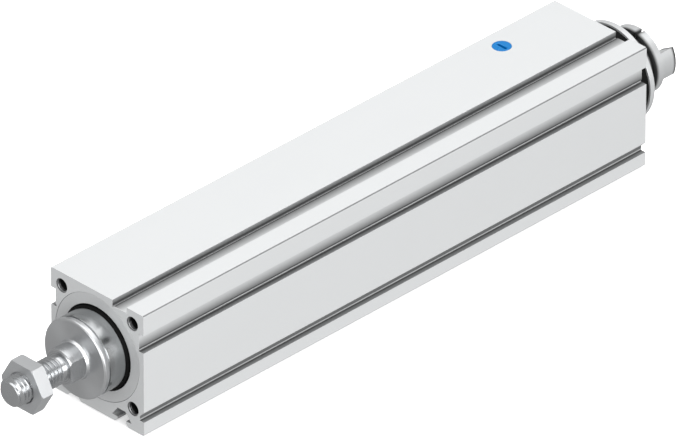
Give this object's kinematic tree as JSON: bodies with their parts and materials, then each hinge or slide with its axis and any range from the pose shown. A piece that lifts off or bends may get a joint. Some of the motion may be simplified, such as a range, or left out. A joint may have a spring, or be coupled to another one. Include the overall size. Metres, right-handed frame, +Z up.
{
  "type": "electric cylinder",
  "caption": "Compact electric cylinder: square slotted aluminium housing, ball-screw driven rod with threaded end and lock nut, jaw coupling at the rear for a motor.",
  "frame": {"origin": "on the rod axis, in the plane of the housing's front face", "axes": "+X along the rod axis out of the rod end, +Z up with the slotted base downwards"},
  "size_m": [0.2302, 0.033, 0.0355],
  "materials": {
    "anodised_profile": "fine satin anodised",
    "machined_aluminium": "turned, clear anodised",
    "polished_steel": "ground and polished",
    "turned_steel": "turned",
    "zinc_plated_steel": "zinc plated",
    "bearing_steel": "ground",
    "black_rubber": "matt",
    "buffer_rubber": "matt",
    "bush_bronze": "sliding layer",
    "sliding_plastic": "matt",
    "return_plastic": "matt",
    "cage_plastic": "matt",
    "magnet": "plastic bonded",
    "blue_plastic": "gloss",
    "black_oxide_steel": "black oxide"
  },
  "bodies": {
    "housing": {"profile_housing": "anodised_profile", "filler_plug": "blue_plastic", "front_bearing_cap": "machined_aluminium", "wiper_ring": "black_rubber", "rod_guide_bush": "bush_bronze", "front_cap_seal": "black_rubber", "front_buffer": "buffer_rubber", "rear_buffer": "buffer_rubber", "rear_bearing_cap": "machined_aluminium", "rear_cap_seal": "black_rubber", "spigot_seal": "black_rubber", "bearing_clamp_ring": "turned_steel", "bearing_outer_rings": "bearing_steel"},
    "rod": {"piston_rod": "polished_steel", "rod_end_plug": "turned_steel", "jam_nut": "zinc_plated_steel", "piston": "machined_aluminium", "guide_ring": "sliding_plastic", "magnet_ring": "magnet", "ball_nut": "bearing_steel", "nut_balls": "polished_steel", "ball_return_caps": "return_plastic", "nut_retainer": "turned_steel"},
    "screw": {"ball_screw": "bearing_steel", "screw_guide_ring": "sliding_plastic", "bearing_inner_rings": "bearing_steel", "bearing_lock_nut": "black_oxide_steel", "coupling_hub": "machined_aluminium", "hub_clamp_screw": "black_oxide_steel"},
    "bearing_cage": {"bearing_balls": "polished_steel", "bearing_cages": "cage_plastic"}
  },
  "joints": [
    {"name": "rod_slide", "type": "slide", "parent": "housing", "child": "rod", "axis": [1, 0, 0], "range_m": [0, 0.1]},
    {"name": "screw_spin", "type": "hinge", "parent": "housing", "child": "screw", "pos_m": [-0.1, 0, 0], "axis": [-1, 0, 0], "range_deg": [0, 4505]},
    {"name": "bearing_cage_spin", "type": "hinge", "parent": "housing", "child": "bearing_cage", "pos_m": [-0.1686, 0, 0], "axis": [-1, 0, 0], "range_deg": [0, 1762.8]}
  ],
  "couplings": [
    {"joint": "screw_spin", "follows": "rod_slide", "rad_per_m": 785.4},
    {"joint": "bearing_cage_spin", "follows": "rod_slide", "rad_per_m": 306.8}
  ]
}
